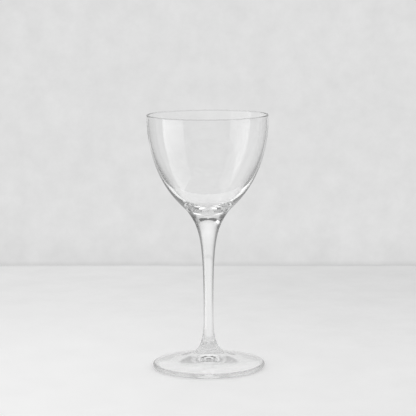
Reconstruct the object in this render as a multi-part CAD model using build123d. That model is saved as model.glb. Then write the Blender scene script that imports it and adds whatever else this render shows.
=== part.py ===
"""A small stemmed cocktail glass with a deep egg-shaped bowl, in clear glass.

Three gathers of hot glass are fused in a row on one axis: a foot, a stem drawn up from it, and a blown bowl.
The axis is Z, the foot rests on Z = 0, and every size is in millimetres.
"""

import os
from math import cos, radians, sin

from build123d import *

# Foot: a disc with a rounded edge that rises in a shallow crown to the stem.
FOOT_DIAMETER = 71.0
FOOT_EDGE = 3.0  # thickness of the rounded edge
FOOT_CROWN = 11.2  # height of the joint with the stem
FOOT_SLOPE = 4.0  # degrees, rise of the top face just inside the edge
FOOT_EDGE_PULL = 12.0  # how far the top face keeps that slope
REST_RING = 1.6  # width of the flat ring that touches the table
HOLLOW_RISE = 5.5  # height of the hollow under the foot, on the axis
HOLLOW_TOP_PULL = 4.0  # how far the hollow stays level around the axis
HOLLOW_SLOPE = 6.5  # degrees, rise of the hollow just inside the ring
HOLLOW_RING_PULL = 22.0  # how far the hollow keeps that slope

# Stem: slender at the waist, flaring to a toe at the foot and to a cup-shaped head under the bowl.
STEM_LENGTH = 88.1  # from the joint with the foot to the edge of the joint with the bowl
TOE_DIAMETER = 14.9
TOE_ANGLE = 41.3  # degrees between the outline and the axis at the toe
TOE_PULL_UP = 2.7  # how far the outline keeps that angle above the joint
TOE_PULL_DOWN = 7.8  # and below it, on the foot
WAIST_DIAMETER = 6.1
WAIST_RISE = 19.5  # height of the waist above the joint with the foot
WAIST_PULL_DOWN = 13.0  # how far the outline stays upright below the waist
WAIST_PULL_UP = 46.3  # and above it
HEAD_DIAMETER = 26.0
HEAD_DISH = 3.6  # depth of the dish in the head that the bowl sits in
HEAD_PULL = 14.6  # how far the outline keeps the flank's angle below the joint

# Bowl: a deep egg-shaped cup, thin at the lip and thick at the base.
RIM_DIAMETER = 76.0
BOWL_HEIGHT = 60.7  # from the edge of the joint with the stem to the rim
FLANK_ANGLE = 37.1  # degrees between the outline and the axis at that joint
FLANK_PULL = 5.2  # how far the outline keeps that angle above the joint
SHOULDER_PULL = 41.4  # how far the outside stays upright below the lip
LIP_WALL = 1.1
BASE_WALL = 4.0  # glass between the bottom of the cup and the dish, on the axis
INNER_SHOULDER_PULL = 38.5  # how far the inside stays upright below the lip
INNER_FLOOR_PULL = 14.5  # how far the inside stays level around the axis


def at(radius, height):
    """A point of the half outline, at a radius from the axis and a height."""
    return Vector(radius, 0, height)


def along(angle, length):
    """A step outwards and up that makes an angle with the axis."""
    return Vector(length * sin(radians(angle)), 0, length * cos(radians(angle)))


def upright(length):
    """A step straight up."""
    return Vector(0, 0, length)


def level(length):
    """A step straight out from the axis."""
    return Vector(length, 0, 0)


def turned(*outline):
    """The solid made by turning a closed half outline round the axis."""
    return revolve(make_face(outline), Axis.Z)


# The points that neighbouring pieces share.
toe = at(TOE_DIAMETER / 2, FOOT_CROWN)
toe_axis = at(0, toe.Z)
waist = at(WAIST_DIAMETER / 2, toe.Z + WAIST_RISE)
head = at(HEAD_DIAMETER / 2, toe.Z + STEM_LENGTH)
dish_axis = at(0, head.Z - HEAD_DISH)
rim_height = head.Z + BOWL_HEIGHT


def dish():
    """The shallow round seat between the bowl and the stem, from the axis to its edge."""
    return TangentArc(dish_axis, head, tangent=level(1))


def foot():
    """The disc: flat ring, hollow underneath, rounded edge and crowned top."""
    edge_radius = FOOT_EDGE / 2
    edge_centre = at(FOOT_DIAMETER / 2 - edge_radius, edge_radius)
    ring_outside = edge_centre - upright(edge_radius)
    ring_inside = ring_outside - level(REST_RING)
    edge_outside = edge_centre + level(edge_radius)
    edge_top = edge_centre + along(FOOT_SLOPE, edge_radius)
    hollow_top = at(0, HOLLOW_RISE)
    return turned(
        Bezier(
            hollow_top,
            hollow_top + level(HOLLOW_TOP_PULL),
            ring_inside - along(90 + HOLLOW_SLOPE, HOLLOW_RING_PULL),
            ring_inside,
        ),
        Line(ring_inside, ring_outside),
        TangentArc(ring_outside, edge_outside, tangent=level(1)),
        TangentArc(edge_outside, edge_top, tangent=upright(1)),
        Bezier(
            edge_top,
            edge_top - along(90 + FOOT_SLOPE, FOOT_EDGE_PULL),
            toe + along(180 - TOE_ANGLE, TOE_PULL_DOWN),
            toe,
        ),
        Line(toe, toe_axis),
        Line(toe_axis, hollow_top),
    )


def stem():
    """The drawn stem: toe, waist and dished head in one sweep."""
    return turned(
        Line(toe_axis, toe),
        Bezier(toe, toe - along(180 - TOE_ANGLE, TOE_PULL_UP), waist - upright(WAIST_PULL_DOWN), waist),
        Bezier(waist, waist + upright(WAIST_PULL_UP), head - along(FLANK_ANGLE, HEAD_PULL), head),
        dish(),
        Line(dish_axis, toe_axis),
    )


def bowl():
    """The blown cup: outside, rounded lip, inside and the bottom that sits in the dish."""
    lip_radius = LIP_WALL / 2
    lip_outside = at(RIM_DIAMETER / 2, rim_height - lip_radius)
    lip_inside = lip_outside - level(LIP_WALL)
    lip_top = lip_outside + upright(lip_radius) - level(lip_radius)
    floor = dish_axis + upright(BASE_WALL)
    return turned(
        dish(),
        Bezier(head, head + along(FLANK_ANGLE, FLANK_PULL), lip_outside - upright(SHOULDER_PULL), lip_outside),
        ThreePointArc(lip_outside, lip_top, lip_inside),
        Bezier(lip_inside, lip_inside - upright(INNER_SHOULDER_PULL), floor + level(INNER_FLOOR_PULL), floor),
        Line(floor, dish_axis),
    )


pieces = {"foot": foot(), "stem": stem(), "bowl": bowl()}

os.makedirs("parts", exist_ok=True)
for name, solid in pieces.items():
    export_step(solid, f"parts/{name}.step")
    print(name, "volume", round(solid.volume), "mm3, top at", round(solid.bounding_box().max.Z, 2))
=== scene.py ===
# %% [markdown]
# A small stemmed cocktail glass in clear glass, rebuilt as three turned pieces: a bowl, a stem and a
# foot. Clear glass has no picture of its own. All that shows is its outline, bent views of what lies
# behind it, and the mirror images on its polished faces. So this lesson spends its effort on two things:
# outlines that are exact and perfectly smooth, and a plain pale studio whose tones are set for each kind
# of ray.

import bpy
import numpy as np
from mathutils import Matrix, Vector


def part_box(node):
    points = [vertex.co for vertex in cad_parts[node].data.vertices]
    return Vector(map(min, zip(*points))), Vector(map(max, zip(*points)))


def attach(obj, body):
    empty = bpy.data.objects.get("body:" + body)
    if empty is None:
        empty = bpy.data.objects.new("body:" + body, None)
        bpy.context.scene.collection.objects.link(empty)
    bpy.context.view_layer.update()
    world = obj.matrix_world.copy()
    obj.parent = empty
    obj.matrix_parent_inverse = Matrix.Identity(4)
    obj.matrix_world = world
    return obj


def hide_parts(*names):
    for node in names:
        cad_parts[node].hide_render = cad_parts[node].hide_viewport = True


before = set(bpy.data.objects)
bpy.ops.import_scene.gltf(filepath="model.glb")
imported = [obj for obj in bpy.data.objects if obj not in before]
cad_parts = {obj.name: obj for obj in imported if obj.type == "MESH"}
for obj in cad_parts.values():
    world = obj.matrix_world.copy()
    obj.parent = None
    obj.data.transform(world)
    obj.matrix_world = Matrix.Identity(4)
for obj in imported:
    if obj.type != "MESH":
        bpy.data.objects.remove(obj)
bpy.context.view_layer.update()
print("frame:", ", ".join(sorted(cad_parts)))

# %% [markdown]
# The sizes. The heights and radii where the pieces meet are read from the CAD frame, so that every piece
# sits where the frame has it. The rest are the pulls and angles of the outline, the same ones as in the
# CAD, in millimetres and degrees. A pull says how far a curve keeps its first or last direction before it
# starts to turn.

# %% Sizes
MM = 0.001
foot_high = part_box("foot")[1]
stem_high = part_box("stem")[1]
bowl_low, bowl_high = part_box("bowl")
foot_radius, head_radius, rim_radius = (float(high[0]) for high in (foot_high, stem_high, bowl_high))
toe_height, head_height, rim_height = (float(high[2]) for high in (foot_high, stem_high, bowl_high))
dish_height = float(bowl_low[2])

EDGE_RADIUS = 1.5 * MM
EDGE_SLOPE, EDGE_PULL = 4.0, 12.0 * MM
REST_RING = 1.6 * MM
HOLLOW_RISE, HOLLOW_TOP_PULL = 5.5 * MM, 4.0 * MM
HOLLOW_SLOPE, HOLLOW_RING_PULL = 6.5, 22.0 * MM

TOE_RADIUS, TOE_ANGLE = 7.45 * MM, 41.3
TOE_PULL_DOWN, TOE_PULL_UP = 7.8 * MM, 2.7 * MM
WAIST_RADIUS, WAIST_RISE = 3.05 * MM, 19.5 * MM
WAIST_PULL_DOWN, WAIST_PULL_UP = 13.0 * MM, 46.3 * MM
FLANK_ANGLE, HEAD_PULL = 37.1, 14.6 * MM

FLANK_PULL, SHOULDER_PULL = 5.2 * MM, 41.4 * MM
LIP_RADIUS = 0.55 * MM
BASE_WALL = 4.0 * MM
INNER_SHOULDER_PULL, INNER_FLOOR_PULL = 38.5 * MM, 14.5 * MM
print(f"rim {rim_radius / MM:.2f} mm in radius at {rim_height / MM:.2f} mm")
print(f"foot {foot_radius / MM:.2f} mm in radius")

# %% [markdown]
# Half outlines. Each piece is drawn as one half outline, from the axis round the outside and back to the
# axis, and is then turned. A stretch of outline is a pair of arrays: its points, as a radius and a
# height, and its directions of travel. The directions matter as much as the points here. They give the
# exact slope of the glass at every ring, and a bent view through glass shows an error of half a degree in
# a slope that no silhouette would show.


# %% Outlines
def along(angle, length):
    """A step outwards and up: the sine and the cosine of its angle to the axis, times its length."""
    return length * np.array([np.sin(np.radians(angle)), np.cos(np.radians(angle))])


def line(start, end, count):
    """Evenly spaced points from start to end; the direction is the same all along."""
    share = np.linspace(0, 1, count)[:, None]
    return start + share * (end - start), np.repeat([end - start], count, 0)


def bezier(a, b, c, d, count):
    """A cubic Bezier curve: a, b, c and d are mixed with weights that are the terms of (1 - t + t) cubed, and
    the direction mixes the three steps between them with the terms of (1 - t + t) squared."""
    t = np.linspace(0, 1, count)[:, None]
    s = 1 - t
    points = s**3 * a + 3 * s**2 * t * b + 3 * s * t**2 * c + t**3 * d
    heading = s**2 * (b - a) + 2 * s * t * (c - b) + t**2 * (d - c)
    return points, heading


def arc(centre, radius, first, last, count):
    """Points of a circle, by the angle to the axis of the radius to each; the direction is that radius turned
    left."""
    angle = np.radians(np.linspace(first, last, count))
    sine, cosine = np.sin(angle), np.cos(angle)
    return centre + radius * np.stack([sine, cosine], 1), np.stack([-cosine, sine], 1)


def backwards(stretch):
    """The same stretch, travelled the other way."""
    points, heading = stretch
    return points[::-1], -heading[::-1]


# %% [markdown]
# The dish. The bowl's bottom sits in a shallow dish in the stem's head, which is part of a sphere. Both
# pieces use the same arc. The stem's side of it is kept a hair lower, and the two meet at the edge.

# %% Shared points
DISH_RINGS = 20
JOINT_GAP = 0.1 * MM
toe = np.array([TOE_RADIUS, toe_height])
waist = np.array([WAIST_RADIUS, toe_height + WAIST_RISE])
head = np.array([head_radius, head_height])

# For a dish of radius r and depth d, the sphere's radius is (r squared + d squared) / 2d.
dish_depth = head_height - dish_height
dish_radius = (head_radius**2 + dish_depth**2) / (2 * dish_depth)
dish_reach = np.degrees(np.arcsin(head_radius / dish_radius))
dish = arc(np.array([0, dish_height + dish_radius]), dish_radius, 180, 180 - dish_reach, DISH_RINGS)
dish_points, dish_heading = dish
drop = JOINT_GAP * (1 - (dish_points[:, 0] / head_radius) ** 2)
seat = dish_points - np.stack([np.zeros(DISH_RINGS), drop], 1), dish_heading
print(f"dish {dish_depth / MM:.2f} mm deep, part of a sphere {dish_radius / MM:.1f} mm in radius")

# %% [markdown]
# Turning. Every ring of points is a row of a grid, and the grid is closed round the axis and at both
# poles, so a piece is one watertight skin. A Screw modifier could turn an outline too, but it would take
# the slopes from the facets, and here they have to be exact.

# %% Grid round the axis
SEGMENTS = 256
turn = np.linspace(0, 2 * np.pi, SEGMENTS, endpoint=False)
spokes = np.stack([np.cos(turn), np.sin(turn)], 1)
here = np.arange(SEGMENTS)
after = (here + 1) % SEGMENTS


def turned_grid(rings):
    """Points and faces of a half outline turned round the axis. A point is its ring's radius times a spoke,
    at its ring's height, and the two ends of the outline are poles. The faces are the squares between two
    rings, then the fan round the first pole and the fan round the last."""
    inner = rings[1:-1]
    heights = np.repeat(inner[:, None, 1:], SEGMENTS, 1)
    points = np.concatenate([inner[:, None, :1] * spokes, heights], 2).reshape(-1, 3)
    points = np.vstack([points, [[0, 0, rings[0, 1]], [0, 0, rings[-1, 1]]]])
    first_pole, last_pole = len(points) - 2, len(points) - 1

    row = np.arange(len(inner) - 1)[:, None] * SEGMENTS
    next_row = row + SEGMENTS
    squares = np.stack([row + here, row + after, next_row + after, next_row + here], -1).reshape(-1, 4)
    end = (len(inner) - 1) * SEGMENTS
    first_fan = np.stack([np.full(SEGMENTS, first_pole), after, here], 1)
    last_fan = np.stack([end + here, end + after, np.full(SEGMENTS, last_pole)], 1)
    return points, squares.tolist() + first_fan.tolist() + last_fan.tolist()


print(f"grid: {SEGMENTS} steps round the axis")

# %% [markdown]
# Exact slopes. The slopes of the outline are handed to Blender as custom normals, one for each corner of
# each face. So a ring where two stretches meet at a corner keeps a normal on each side.


# %% Exact slopes
def corner_normals(heading):
    """Normals for the corners of the faces of such a grid, in the order of its faces. heading holds the
    direction of travel at both ends of each strip between two rings. Turned right and made one long, it
    points out of the glass, and every corner carries it round to its own spoke."""
    slope = np.stack([heading[..., 1], -heading[..., 0]], -1)
    slope /= np.linalg.norm(slope, axis=-1, keepdims=True)

    def on_strip(strip, ends, columns):
        """The normals on one strip, from each corner's end of the strip and its spoke."""
        flat = slope[strip, ends]
        around = spokes[np.stack(columns, 1)]
        rise = np.broadcast_to(flat[:, 1:], around.shape[:-1] + (1,))
        return np.concatenate([flat[:, :1] * around, rise], -1).reshape(-1, 3)

    last = len(slope) - 1
    squares = [on_strip(strip, [0, 0, 1, 1], [here, after, after, here]) for strip in range(1, last)]
    first_fan = on_strip(0, [0, 1, 1], [here, after, here])
    last_fan = on_strip(last, [0, 0, 1], [here, after, here])
    return np.vstack(squares + [first_fan, last_fan])


# %% [markdown]
# The pieces. Two finishes share a piece: the polished outside, and the fused joint, which lies inside the
# glass and mustn't show.


# %% Turned pieces
def turned(name, stretches, joints, finishes):
    """Turns the stretches of a half outline into one closed piece. joints says which stretches are fused
    joints, and these get the second finish."""
    lengths = [len(points) - 1 for points, _ in stretches]
    rings = np.vstack([stretches[0][0][:1]] + [points[1:] for points, _ in stretches])
    heading = np.vstack([np.stack([h[:-1], h[1:]], 1) for _, h in stretches])
    finish = np.repeat([index in joints for index in range(len(stretches))], lengths).astype(np.int32)
    face_finish = np.repeat(np.concatenate([finish[1:-1], finish[:1], finish[-1:]]), SEGMENTS)

    points, faces = turned_grid(rings)
    mesh = bpy.data.meshes.new(name)
    mesh.from_pydata(points, [], faces)
    mesh.polygons.foreach_set("material_index", face_finish)
    mesh.polygons.foreach_set("use_smooth", np.ones(len(mesh.polygons), bool))
    mesh.normals_split_custom_set(corner_normals(heading).tolist())
    for material in finishes:
        mesh.materials.append(material)
    piece = bpy.data.objects.new(name, mesh)
    bpy.context.scene.collection.objects.link(piece)
    print(f"{name}: {len(rings)} rings, {2 * SEGMENTS * (len(rings) - 2)} triangles")
    return piece


# %% [markdown]
# Shader arithmetic. A node tree reads badly as code when every sum takes four lines. This small class
# wraps one socket and lets Python's own operators add the Math nodes, so that a mask can be written as 1
# - a * b.


# %% Sockets
class Wire:
    """One output of a node tree. Sums, differences, products and quotients of wires and numbers are Math
    nodes."""

    def __init__(self, tree, socket=None):
        self.tree, self.socket = tree, socket

    def node(self, kind, settings=None, values=None, output=0):
        """Adds a node, sets its settings first, then fills its sockets by name or number, and returns one
        output."""
        made = self.tree.nodes.new("ShaderNode" + kind)
        for name, value in (settings or {}).items():
            setattr(made, name, value)
        for name, value in (values or {}).items():
            if isinstance(value, Wire):
                self.tree.links.new(value.socket, made.inputs[name])
            else:
                made.inputs[name].default_value = value
        return Wire(self.tree, made.outputs[output] if made.outputs else None)

    def maths(self, operation, *terms):
        """A Math node with one operation on wires and numbers."""
        return self.node("Math", {"operation": operation}, dict(enumerate(terms)))

    def __add__(self, other):
        return self.maths("ADD", self, other)

    def __sub__(self, other):
        return self.maths("SUBTRACT", self, other)

    def __rsub__(self, other):
        return self.maths("SUBTRACT", other, self)

    def __mul__(self, other):
        return self.maths("MULTIPLY", self, other)

    def __truediv__(self, other):
        return self.maths("DIVIDE", self, other)

    __radd__, __rmul__ = __add__, __mul__

    def parts(self):
        """The three parts of a vector, each as a wire of its own."""
        split = self.node("SeparateXYZ", {}, {0: self}).socket.node
        return [Wire(self.tree, output) for output in split.outputs]

    def rises(self, start, end):
        """0 up to start and 1 from end, with a smooth step between them; a later start than end makes it
        fall."""
        low, high = sorted((start, end))
        ends = {"Value": self, "From Min": low, "From Max": high}
        step = self.node("MapRange", {"interpolation_type": "SMOOTHSTEP"}, ends)
        return 1 - step if start > end else step

    def reaches(self, least):
        """1 where a whole number is least or more, and 0 below; the step lies between the whole numbers."""
        return self.rises(least - 0.6, least - 0.4)

    def painted(self, level, mask):
        """This value where mask is 0, and level where it is 1."""
        return self + mask * (level - self)

    def noise(self, place, scale, detail, roughness):
        """A Noise texture, about 0.5 on average, with so many lumps to the unit of place."""
        sockets = {"Vector": place, "Scale": scale, "Detail": detail, "Roughness": roughness}
        return self.node("TexNoise", {}, sockets)

    def colours(self, factor, first, second):
        """The first colour where factor is 0 and the second where it is 1. The Mix node keeps its colour
        sockets at numbers 6 and 7, and its colour output at number 2."""
        return self.node("Mix", {"data_type": "RGBA"}, {0: factor, 6: first, 7: second}, 2)


def empty_tree(owner):
    """Clears the node tree of a material or world and returns a wire to build from."""
    owner.use_nodes = True
    owner.node_tree.nodes.clear()
    return Wire(owner.node_tree)


# %% [markdown]
# Clear glass. The body is colourless soda-lime glass, so the shader is almost all transmission with an
# index of refraction of 1.52. Blown and drawn glass is never quite flat: a slow waviness, a few
# hundredths of a millimetre high and stretched along the axis, makes the reflections sway a little. The
# tint is the faintest cool grey and drifts slightly. All places are told in millimetres from the parts of
# the glass.

# %% Glass body
GLASS_IOR = 1.52
WAVES_PER_METRE, WAVE_HEIGHT = (60, 60, 22), 0.03 * MM
CLEAR, COOL = (1, 1, 1, 1), (0.992, 0.993, 0.993, 1)
glass = bpy.data.materials.new("clear_glass")
tree = empty_tree(glass)
place = tree.node("TexCoord", output="Object")
drawn = tree.node("VectorMath", {"operation": "MULTIPLY"}, {0: place, 1: WAVES_PER_METRE})
wave = tree.noise(drawn, scale=1.0, detail=1.0, roughness=0.4)
sway = tree.node("Bump", {}, {"Strength": 1.0, "Distance": WAVE_HEIGHT, "Height": wave})

x, y, height = place.parts()
over_table = height / MM
over_toe = (height - toe_height) / MM
over_head = (height - head_height) / MM
under_rim = (rim_height - height) / MM
inside_brim = (foot_radius - tree.maths("SQRT", x * x + y * y)) / MM
print(f"{glass.name}: index of refraction {GLASS_IOR}, waves {WAVE_HEIGHT / MM} mm high")

# %% [markdown]
# Dark outlines, painted shade. Near its outline a glass bends the view far to the side, and a real room
# has dark things there. This studio is pale all round, so that the glass can be looked at from every side.
# A ring of dark screens was the other way, but each screen shows as a dark shape from somewhere. So part
# of the outline is painted shade: a grey painted into the glass's colour in place of the dark room, which
# deepens where Layer Weight says that the surface turns away from the view. It is strongest on the upper
# stem and low on the bowl. The foot's edge has it only where the view enters the glass, and the lip has it
# where it faces the view, as a thin painted grey line.

# %% Glass outlines, painted shade
PAINTED_OUTLINE_SHADE = (0.04, 0.04, 0.04, 1)
STEM_LOW_SHADE, STEM_HIGH_SHADE, NECK_DELAY = 0.35, 0.90, 0.12
CUP_SHADE, FLANK_SHADE, BEND_ADVANCE = 0.1, 0.6, 0.12
BRIM_SHADE, BRIM_OUTLINE_SHADE, LIP_SHADE = 0.1, 0.4, 0.27
turning = tree.node("LayerWeight", {}, {"Blend": 0.5}, "Facing")
entering = 1 - tree.node("NewGeometry", output="Backfacing")

on_stem = over_toe.rises(0, 10) * over_head.rises(4, -4)
on_neck = over_head.rises(-10.3, -1.3)
stem_shade = STEM_LOW_SHADE + (STEM_HIGH_SHADE - STEM_LOW_SHADE) * over_table.rises(25, 60)
edge_shade = stem_shade * on_stem * (turning - NECK_DELAY * on_neck).rises(0.02, 0.6)

on_bowl = over_head.rises(-4, 4)
on_bend = over_head.rises(6, 14) * over_head.rises(42, 26)
cup_shade = CUP_SHADE * under_rim.rises(2, 6) + FLANK_SHADE * over_head.rises(50, 15)
edge_shade = edge_shade + cup_shade * on_bowl * (turning + BEND_ADVANCE * on_bend).rises(0.75, 0.97)

on_brim = inside_brim.rises(2, 1) * over_toe.rises(0, -4)
edge_shade = edge_shade + on_brim * entering * (BRIM_SHADE + BRIM_OUTLINE_SHADE * turning.rises(0.3, 0.85))
edge_shade = edge_shade + LIP_SHADE * under_rim.rises(0.9, 0.4) * turning.rises(0.65, 0.35)
# The glass's colour: its own faint cool grey, with the painted outline shade laid over it.
tint_and_edge_shade = tree.colours(edge_shade, tree.colours(wave, COOL, CLEAR), PAINTED_OUTLINE_SHADE)
print(f"outlines: up to {STEM_HIGH_SHADE:.0%} on the stem and {FLANK_SHADE:.0%} on the flank")

# %% [markdown]
# Polish. The glass is fire-polished all over, apart from the ring that stands on tables, which is
# scuffed. The foot and the lip also have a trace of roughness that is too small to see. Blender then no
# longer counts their rays as singular, so the room further down can tell light from the foot apart from
# light from the stem.

# %% Glass polish
SCUFFS_PER_METRE, SCUFF_ROUGHNESS, TRACE = 900.0, 0.35, 0.01
scuffs = tree.noise(place, scale=SCUFFS_PER_METRE, detail=3.0, roughness=0.5)
rough = SCUFF_ROUGHNESS * scuffs * over_table.rises(0.12, 0)
rough = rough + TRACE * over_toe.rises(0, -1) + TRACE * under_rim.rises(1.6, 1.2)
polished = {"Base Color": tint_and_edge_shade, "Roughness": rough, "Normal": sway}
constant = {"IOR": GLASS_IOR, "Transmission Weight": 1.0}
tree.node("OutputMaterial", {}, {"Surface": tree.node("BsdfPrincipled", {}, polished | constant)})
print(f"{glass.name}: {len(tree.tree.nodes)} nodes")

# %% [markdown]
# The fused joint. Where two gathers of glass are fused there is no surface left: light goes straight
# through. The two joint faces need a finish all the same, and an alpha of nothing says just that. The two
# faces of a joint are kept a hair apart, because a ray that leaves one face must find the other in front
# of it.

# %% Fused joint
fused = bpy.data.materials.new("fused_joint")
tree = empty_tree(fused)
unseen = tree.node("BsdfPrincipled", {}, {"Base Color": CLEAR, "Roughness": 0.0, "Alpha": 0.0})
tree.node("OutputMaterial", {}, {"Surface": unseen})
print("finishes:", glass.name, fused.name)

# %% [markdown]
# The foot. A disc was pressed while soft and its edge fire-polished to a half round. Its top swells into
# a crown that runs up the stem. Underneath, a flat ring touches the table and a hollow rises to a small
# dome at the middle, which is what draws the little rings seen through the crown.

# %% Foot
HOLLOW_RINGS, REST_RINGS, EDGE_RINGS, CROWN_RINGS, JOINT_RINGS = 80, 5, 28, 110, 10
edge_centre = np.array([foot_radius - EDGE_RADIUS, EDGE_RADIUS])
edge = arc(edge_centre, EDGE_RADIUS, 180, EDGE_SLOPE, EDGE_RINGS)
ring_outside, edge_top = edge[0][0], edge[0][-1]
ring_inside = ring_outside - along(90, REST_RING)
hollow_top = np.array([0, HOLLOW_RISE])
hollow_level = hollow_top + along(90, HOLLOW_TOP_PULL)
hollow_slope = ring_inside - along(90 + HOLLOW_SLOPE, HOLLOW_RING_PULL)
crown_slope = edge_top - along(90 + EDGE_SLOPE, EDGE_PULL)
crown_top = toe + along(180 - TOE_ANGLE, TOE_PULL_DOWN)
foot = turned(
    "glass_foot",
    [
        bezier(hollow_top, hollow_level, hollow_slope, ring_inside, HOLLOW_RINGS),
        line(ring_inside, ring_outside, REST_RINGS),
        edge,
        bezier(edge_top, crown_slope, crown_top, toe, CROWN_RINGS),
        line(toe, np.array([0, toe_height]), JOINT_RINGS),
    ],
    {4},
    [glass, fused],
)

# %% [markdown]
# The stem. It was drawn out while hot, so it has no corner anywhere: it leaves the foot's crown at the
# same slope, thins to a waist and flares again, slowly and then quickly, into the head that carries the
# bowl.

# %% Stem
TOE_RINGS, SHAFT_RINGS = 90, 150
toe_slope = toe - along(180 - TOE_ANGLE, TOE_PULL_UP)
head_slope = head - along(FLANK_ANGLE, HEAD_PULL)
stem = turned(
    "glass_stem",
    [
        line(np.array([0, toe_height + JOINT_GAP]), toe, JOINT_RINGS),
        bezier(toe, toe_slope, waist - along(0, WAIST_PULL_DOWN), waist, TOE_RINGS),
        bezier(waist, waist + along(0, WAIST_PULL_UP), head_slope, head, SHAFT_RINGS),
        backwards(seat),
    ],
    {0, 3},
    [glass, fused],
)

# %% [markdown]
# The bowl. A blown cup: about a millimetre thick at the lip, which is rounded in the flame, and thicker
# towards the base. Outside and inside are two separate curves, and the thick base between them works as a
# strong lens. That lens is what turns the light and dark of the room into the bright and dark wedges over
# the stem.

# %% Bowl
LIP_RINGS, OUTSIDE_RINGS, INSIDE_RINGS = 18, 130, 170
lip_centre = np.array([rim_radius - LIP_RADIUS, rim_height - LIP_RADIUS])
lip = arc(lip_centre, LIP_RADIUS, 90, -90, LIP_RINGS)
lip_outside, lip_inside = lip[0][0], lip[0][-1]
cup_floor = np.array([0, dish_height + BASE_WALL])
flank_slope = head + along(FLANK_ANGLE, FLANK_PULL)
inner_shoulder = lip_inside - along(0, INNER_SHOULDER_PULL)
inner_floor = cup_floor + along(90, INNER_FLOOR_PULL)
bowl = turned(
    "glass_bowl",
    [
        dish,
        bezier(head, flank_slope, lip_outside - along(0, SHOULDER_PULL), lip_outside, OUTSIDE_RINGS),
        lip,
        bezier(lip_inside, inner_shoulder, inner_floor, cup_floor, INSIDE_RINGS),
    ],
    {0},
    [glass, fused],
)

for piece, node in ((foot, "foot"), (stem, "stem"), (bowl, "bowl")):
    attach(piece, "root")
    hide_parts(node)

# %% [markdown]
# The camera stands a metre in front with a long lens, a little above the rim and tipped down, as a
# photographer would stand to open both the rim and the foot into slim ellipses.

# %% Camera
CAMERA_DISTANCE, CAMERA_HEIGHT = 1.050, 0.2467
CAMERA_PITCH, CAMERA_ROLL = 7.888, -0.31
SENSOR, LENS, NEAREST = 36.0, 146.4, 0.01
camera = bpy.data.objects.new("camera", bpy.data.cameras.new("camera"))
camera.data.sensor_width = SENSOR
camera.data.lens = LENS
camera.data.clip_start = NEAREST
pitch = Matrix.Rotation(np.radians(90 - CAMERA_PITCH), 4, "X")
roll = Matrix.Rotation(np.radians(CAMERA_ROLL), 4, "Z")
camera.matrix_world = Matrix.Translation((0, -CAMERA_DISTANCE, CAMERA_HEIGHT)) @ pitch @ roll
bpy.context.scene.collection.objects.link(camera)
bpy.context.scene.camera = camera
print(f"camera: {LENS} mm lens, {CAMERA_DISTANCE} m away, tipped down {CAMERA_PITCH} degrees")

# %% [markdown]
# Kinds of ray. Photographers light clear glass with a bright field: a pale sheet hardly larger than the
# picture, in a darker room. The sheet shows through the middle of the glass and the room shows at its
# edges. In Blender the stage can be told what a ray has been through, so it needs no real screens. Light
# Path counts how often a ray was bent by glass and how often it bounced in all, and the difference is how
# often it was mirrored. Two walls of the bowl bend a ray four times, and one solid piece bends it twice.


# %% Kinds of ray
def ray_kinds(tree, extra=0):
    """Masks for the rays that floor and room treat apart. camera: straight from the camera. solid: bent by
    one piece of glass. walls: bent by both walls of the bowl. shine: mirrored outside. inside: mirrored
    inside the glass. pressed: the same, and left through the foot or the lip. twice: bent four times or
    more. glass: has just met glass. diffuse: has just met the floor. extra is what the count of bounces is
    ahead by, which is one in a world."""
    outputs = tree.node("LightPath").socket.node.outputs
    path = {output.name: Wire(tree.tree, output) for output in outputs}
    bent = path["Transmission Depth"]
    mirrored = (path["Ray Depth"] - bent).reaches(extra + 1)
    twice = bent.reaches(4)
    inside = mirrored * bent.reaches(2) * (1 - twice) * path["Is Transmission Ray"]
    return {
        "camera": path["Is Camera Ray"],
        "solid": (1 - mirrored) * bent.reaches(1) * (1 - twice),
        "walls": (1 - mirrored) * twice,
        "shine": mirrored * (1 - bent.reaches(1)),
        "inside": inside,
        "pressed": inside * (1 - path["Is Singular Ray"]),
        "twice": twice,
        "glass": tree.maths("MAXIMUM", path["Is Transmission Ray"], path["Is Glossy Ray"]),
        "diffuse": path["Is Diffuse Ray"],
    }


# %% [markdown]
# The floor is a wide pale sheet that ends at the wall. It lies a hair below the glass, because two faces
# in the same place would fight for each pixel.

# %% Floor
WALL_DISTANCE, WALL_TURN = 0.376, float(np.tan(np.radians(-1.35)))
FLOOR_HALF, FLOOR_FRONT, STAND_OFF = 1.6, -2.0, 0.03 * MM
back_right, back_left = WALL_DISTANCE + FLOOR_HALF * WALL_TURN, WALL_DISTANCE - FLOOR_HALF * WALL_TURN
front = [(-FLOOR_HALF, FLOOR_FRONT, -STAND_OFF), (FLOOR_HALF, FLOOR_FRONT, -STAND_OFF)]
back = [(FLOOR_HALF, back_right, -STAND_OFF), (-FLOOR_HALF, back_left, -STAND_OFF)]
floor_mesh = bpy.data.meshes.new("floor")
floor_mesh.from_pydata(front + back, [], [(0, 1, 2, 3)])
floor = bpy.data.objects.new("floor", floor_mesh)
bpy.context.scene.collection.objects.link(floor)
print(f"floor: {2 * FLOOR_HALF} m wide, wall {WALL_DISTANCE} m behind the glass")

# %% [markdown]
# The floor's tones. To the camera the floor is pale and cloudy, with painted shade: it fades a little
# towards the wall and to the right, as if the light fell off, and darkens in a thin line along the wall.
# Rays that have met glass see it a shade darker, as painted shade, and darkest in the mirror images on the
# outside of the glass, where that painted shade makes the outline of the flank. Part of the tone is a glow
# of the floor's own, so the object needs no extra light, and its shadow still falls on the floor. Places on
# the floor are in metres from the glass.

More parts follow.
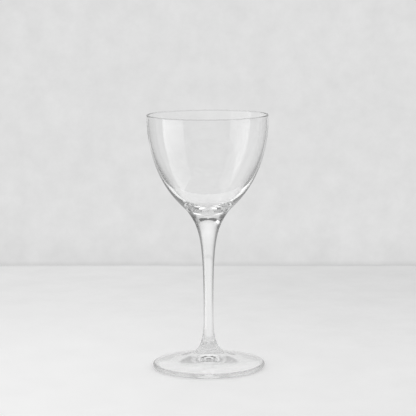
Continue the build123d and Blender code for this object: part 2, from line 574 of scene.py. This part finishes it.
# %% Floor tones
WALL_FALLOFF_SHADE, RIGHT_FALLOFF_SHADE, CORNER_SHADE, CLOUDINESS = 0.15, 0.08, 0.12, 0.12
SHINE_SHADE, GLASS_SHADE, WALLS_SHADE, INSIDE_SHADE = 0.45, 0.06, 0.08, 0.10
pale = bpy.data.materials.new("pale_floor")
floor_mesh.materials.append(pale)
tree = empty_tree(pale)
kinds = ray_kinds(tree)
place = tree.node("TexCoord", output="Object")
x, y, _ = place.parts()
across = tree.maths("ABSOLUTE", x)
from_axis = tree.maths("SQRT", x * x + y * y)
to_wall = WALL_DISTANCE + x * WALL_TURN - y
cloud = tree.noise(place, scale=26.0, detail=5.0, roughness=0.65)

# Painted shade for the camera: light falling off towards the wall and to the right, and a thin dark line
# along the wall.
painted_falloff_shade = WALL_FALLOFF_SHADE * to_wall.rises(0.45, 0.0) + CORNER_SHADE * to_wall.rises(0.010, 0.0)
painted_falloff_shade = painted_falloff_shade + RIGHT_FALLOFF_SHADE * x.rises(-0.12, 0.16)
# Painted shade for rays that have met glass, darkest in the mirror images outside, which draws the flank's
# outline.
shade_for_glass_rays = SHINE_SHADE * kinds["shine"] * y.rises(0.02, 0.10) + GLASS_SHADE * kinds["glass"]
shade_for_glass_rays = shade_for_glass_rays + WALLS_SHADE * kinds["walls"] + INSIDE_SHADE * kinds["inside"] * from_axis.rises(0.11, 0.07)
shade = 1 - painted_falloff_shade * (1 - kinds["glass"]) - shade_for_glass_rays + CLOUDINESS * (cloud - 0.5)
print(f"floor tones: {SHINE_SHADE:.0%} darker in the mirror images outside, {GLASS_SHADE:.0%} through the glass")

# %% [markdown]
# The floor seen through glass. The foot gathers light on the floor under it, and that pool of light is
# painted: the floor glows brighter there, most of all in front. Rays mirrored inside the glass find the far
# floor painted bright on both sides and dim in the middle, which makes painted bright streaks in the bowl's
# base. Rays that have met glass see only the part of the floor inside the bright field, and past it they
# see the room. From the back and the sides, rays that were only bent see the whole floor, as they should.

# %% Floor through glass
FLOOR_COLOUR, FLOOR_GLOW = 0.785, 0.33
UNDER_FOOT_PAINTED_LIGHT, UNDER_BACK = 0.20, 0.6
INSIDE_PAINTED_LIGHT, FAR_SIDE_PAINTED_LIGHT, FAR_LEFT_LOSS, FAR_MIDDLE_SHADE = 0.05, 0.67, 0.3, 0.2
FIELD_HALF, FIELD_SPREAD, FIELD_FRONT, FIELD_SOFT = 0.10, 0.11, -0.14, 0.004
BEHIND_SPREAD = 0.8
# Painted light: a pool of light on the floor under the foot, in place of the light the foot gathers there,
# strongest in front.
to_front = UNDER_BACK + (1 - UNDER_BACK) * y.rises(0.015, -0.01)
painted_light_under_foot = from_axis.rises(0.042, 0.034) * kinds["glass"] * (1 - kinds["inside"])
# Painted reflections: for rays mirrored inside the glass the far floor is bright on both sides and dim in the
# middle, which draws the streaks in the bowl's base.
aside = across.rises(0.02, 0.05)
far_side_painted_light = FAR_SIDE_PAINTED_LIGHT * aside * (1 - FAR_LEFT_LOSS * x.rises(0.01, -0.01))
painted_streak_tones = y.rises(0.08, 0.16) * (far_side_painted_light - FAR_MIDDLE_SHADE * (1 - aside))
glow_and_painted_light = shade * FLOOR_GLOW + UNDER_FOOT_PAINTED_LIGHT * painted_light_under_foot * to_front + kinds["inside"] * (INSIDE_PAINTED_LIGHT + painted_streak_tones)

matt = {"Roughness": 0.9, "Specular IOR Level": 0.1, "Emission Strength": 1.0}
lit = tree.node("BsdfPrincipled", {}, {"Base Color": shade * FLOOR_COLOUR, "Emission Color": glow_and_painted_light} | matt)
past_side = (across - y * FIELD_SPREAD).rises(FIELD_HALF - FIELD_SOFT, FIELD_HALF + FIELD_SOFT)
past_front = y.rises(FIELD_FRONT + FIELD_SOFT, FIELD_FRONT - FIELD_SOFT)
beyond = tree.maths("MAXIMUM", past_side, past_front)
seen = (kinds["solid"] + kinds["walls"]) * (across - BEHIND_SPREAD * y).rises(0, 0.02)
open_floor = tree.node("BsdfTransparent")
missing = beyond * kinds["glass"] * (1 - seen)
field = tree.node("MixShader", {}, {0: missing, 1: lit, 2: open_floor})
tree.node("OutputMaterial", {}, {"Surface": field})
print(f"{pale.name}: {len(tree.tree.nodes)} nodes")

# %% [markdown]
# The room is a world of soft patches. Every direction is told by two angles: how far it is turned from
# straight behind the glass, to either side, and how high it is above the horizon. A patch is the product
# of its soft edges.

# %% Room directions
MIDDLE = 0.002
world = bpy.data.worlds.new("studio")
bpy.context.scene.world = world
tree = empty_tree(world)
kinds = ray_kinds(tree, 1)
heading = tree.node("TexCoord", output="Generated")
x, y, z = heading.parts()
behind = tree.maths("DEGREES", tree.maths("ARCTAN2", tree.maths("ABSOLUTE", x), y))
up = tree.maths("DEGREES", tree.maths("ARCSINE", z))
left = x.rises(MIDDLE, -MIDDLE)
right = 1 - left


def patch(around, above=()):
    """A soft patch of the room, 1 inside and 0 outside: the product of its edges. An edge is a pair of angles
    in degrees, where it starts and where it is complete: around from straight behind, above from the
    horizon."""
    edges = [behind.rises(*edge) for edge in around] + [up.rises(*edge) for edge in above]
    mask = edges[0]
    for edge_mask in edges[1:]:
        mask = mask * edge_mask
    return mask


# %% [markdown]
# The wall. The camera itself only ever sees the plain pale wall, faintly cloudy, with a soft dark line of
# painted shade where it meets the floor. Rays that one solid piece has bent see the same wall a little
# brighter, most of all straight behind, apart from a narrow slit just below the horizon, which helps the
# dark arc under the bowl. Rays through both walls of the bowl see it with a slightly darker patch on either
# side.

# %% Room wall
WALL_TONE, WALL_CLOUDINESS, LINE_SHADE, LINE_DARK_SHADE = 0.735, 0.14, 0.035, 0.06
SHADE_WIDTH, LINE_WIDTH, LEAST_FORWARD = 0.02, 0.003, 0.2
SOLID_LIFT, BACK_LIFT, HIGH_LIFT, WALLS_TONE = 0.03, 0.07, 0.09, 0.68
clouds = tree.noise(heading, scale=80.0, detail=5.0, roughness=0.65)
wall = WALL_TONE + WALL_CLOUDINESS * (clouds - 0.5)
slant = z / tree.maths("MAXIMUM", y - x * WALL_TURN, LEAST_FORWARD)
wall_foot = -CAMERA_HEIGHT / (CAMERA_DISTANCE + WALL_DISTANCE)
# Painted shade: a soft dark line along the foot of the wall, where it meets the floor.
line_shade = LINE_SHADE * slant.rises(wall_foot + SHADE_WIDTH, wall_foot)
wall_with_painted_line = wall - line_shade - LINE_DARK_SHADE * slant.rises(wall_foot + LINE_WIDTH, wall_foot)

slit = up.rises(-5.5, -5.0) * up.rises(-3.9, -4.4)
lift = BACK_LIFT * (1 - slit) + HIGH_LIFT * up.rises(2, 9)
through_solid = wall + SOLID_LIFT + lift * patch([(42, 30)])
through_walls = wall.painted(WALLS_TONE, patch([(15, 18), (36, 32)], [(-15, -12), (1, -1)]))
print(f"wall: meets the floor where the view falls {-wall_foot:.3f} m in a metre")

# %% [markdown]
# The mirrored room. The outside of the glass mirrors the whole room: pale in front and behind, darker
# beside the wall and darkest low down, which draws the outline of the bowl's flank. On the left is a tall
# bright window whose back edge leans low down, on the right a pale panel. The window is what makes the
# upright bands on the bowl.

# %% Room mirrored outside
ROOM_TONE, BACK_TONE, FRONT_TONE = 0.62, 0.12, 0.08
SIDE_LOW, SIDE_RISE, SIDE_SHIFT = 0.30, 0.42, 8
PANEL_TONE, PANE_TONE, PANE_FALL, PANE_LIFT, FLOOR_LIGHT = 1.1, 2.2, 0.9, 0.7, 0.05
LEAN, LEAN_FROM, PANE_BACK, PANE_FRONT = 0.55, 25, 87.0, 134.0
room = ROOM_TONE + BACK_TONE * behind.rises(40, 25) + FRONT_TONE * behind.rises(130, 160)
side_tone = SIDE_LOW + SIDE_RISE * (up + SIDE_SHIFT * behind.rises(35, 50)).rises(-24, -12)
room = room.painted(side_tone, patch([(6, 14), (75, 60)], [(-60, -40), (65, 50)]))
room = room.painted(PANEL_TONE, right * patch([(70, 85), (130, 110)], [(-4, -10)]))

across_pane = tree.node("MapRange", {}, {"Value": behind, "From Min": PANE_BACK, "From Max": PANE_FRONT})
pane_lift = 1 + PANE_LIFT * up.rises(-32, -8) * (1 - kinds["twice"])
pane = (PANE_TONE - PANE_FALL * across_pane) * pane_lift
lean = LEAN * tree.maths("MINIMUM", up + LEAN_FROM, 0)
window = left * (behind - lean).rises(84, 88) * patch([(135, 132)], [(60, 50)])
room = room.painted(pane, window * tree.maths("MAXIMUM", up.rises(-3, -6), kinds["twice"]))
room = room * (1 + FLOOR_LIGHT * kinds["diffuse"])
print(f"window: {PANE_BACK} to {PANE_FRONT} degrees round to the left, {PANE_TONE} bright")

# %% [markdown]
# The hidden room. Rays mirrored inside the thick glass leave it in all directions, and the dark things
# that they find draw the dark wedges in the bowl's base. The left is lighter than the right, because the
# window is there. Rays that leave through the foot have tones of their own, so that the foot stays light
# while the base is dark.

# %% Room mirrored inside
HIDDEN_TONE, HIDDEN_HIGH, DIM, DIM_LEFT, DIM_HIGH = 0.75, 0.15, 0.35, 0.35, 0.2
LOW_SIDE_TONE, HIGH_SIDE_TONE, TOP_TONE = 0.22, 0.3, 0.15
FOOT_TONE, FOOT_HIGH, FOOT_BACK, FOOT_SHARE = 0.35, 0.15, 0.3, 0.85
FOOT_SIDE, FOOT_SIDE_LEFT, FOOT_FRONT = 0.52, 0.16, 1.05
hidden = HIDDEN_TONE + HIDDEN_HIGH * up.rises(18, 28)
dim = (DIM + DIM_LEFT * left).painted(DIM_HIGH, up.rises(3, 6))
hidden = hidden.painted(dim, patch([(28, 36)], [(-7, -5), (30, 25)]))
hidden = hidden.painted(LOW_SIDE_TONE, patch([(20, 26), (66, 60)], [(-42, -38), (-4, -6)]))
hidden = hidden.painted(HIGH_SIDE_TONE, patch([(28, 36), (80, 70)], [(22, 26), (56, 52)]))
hidden = hidden.painted(TOP_TONE, patch([(20, 30)], [(54, 60)]))

pressed = FOOT_TONE + FOOT_HIGH * up.rises(3, 8) + FOOT_BACK * patch([(58, 40)], [(6, 9), (28, 24)])
foot_side = FOOT_SIDE + FOOT_SIDE_LEFT * left
pressed = pressed.painted(foot_side, patch([(56, 66), (130, 118)], [(-8, -5), (10, 6)]))
pressed = pressed.painted(FOOT_FRONT, patch([(115, 125)]))
hidden = hidden.painted(pressed, FOOT_SHARE * kinds["pressed"])
print(f"hidden room: {HIDDEN_TONE} bright, down to {TOP_TONE} overhead")

# %% [markdown]
# The room put together. Each kind of ray gets its own version of the room, and the camera's own view is
# laid over last.

# %% Room
tone = room.painted(hidden, kinds["inside"]).painted(through_solid, kinds["solid"])
tone = tone.painted(through_walls, kinds["walls"]).painted(wall_with_painted_line, kinds["camera"])
background = tree.node("Background", {}, {"Color": tone, "Strength": 1.0})
tree.node("OutputWorld", {}, {"Surface": background})
print(f"{world.name}: {len(tree.tree.nodes)} nodes")

# %% [markdown]
# Light is bent many times inside thick glass before it leaves. Cutting a path short leaves a black dot,
# so the limit on bounces is raised. Colours are shown as they are, without a film look.

# %% Rendering
MOST_BOUNCES = 96
scene = bpy.context.scene
scene.view_settings.view_transform = "Standard"
for limit in ("max_bounces", "transmission_bounces", "glossy_bounces"):
    setattr(scene.cycles, limit, MOST_BOUNCES)
print(f"light paths: up to {MOST_BOUNCES} bounces")
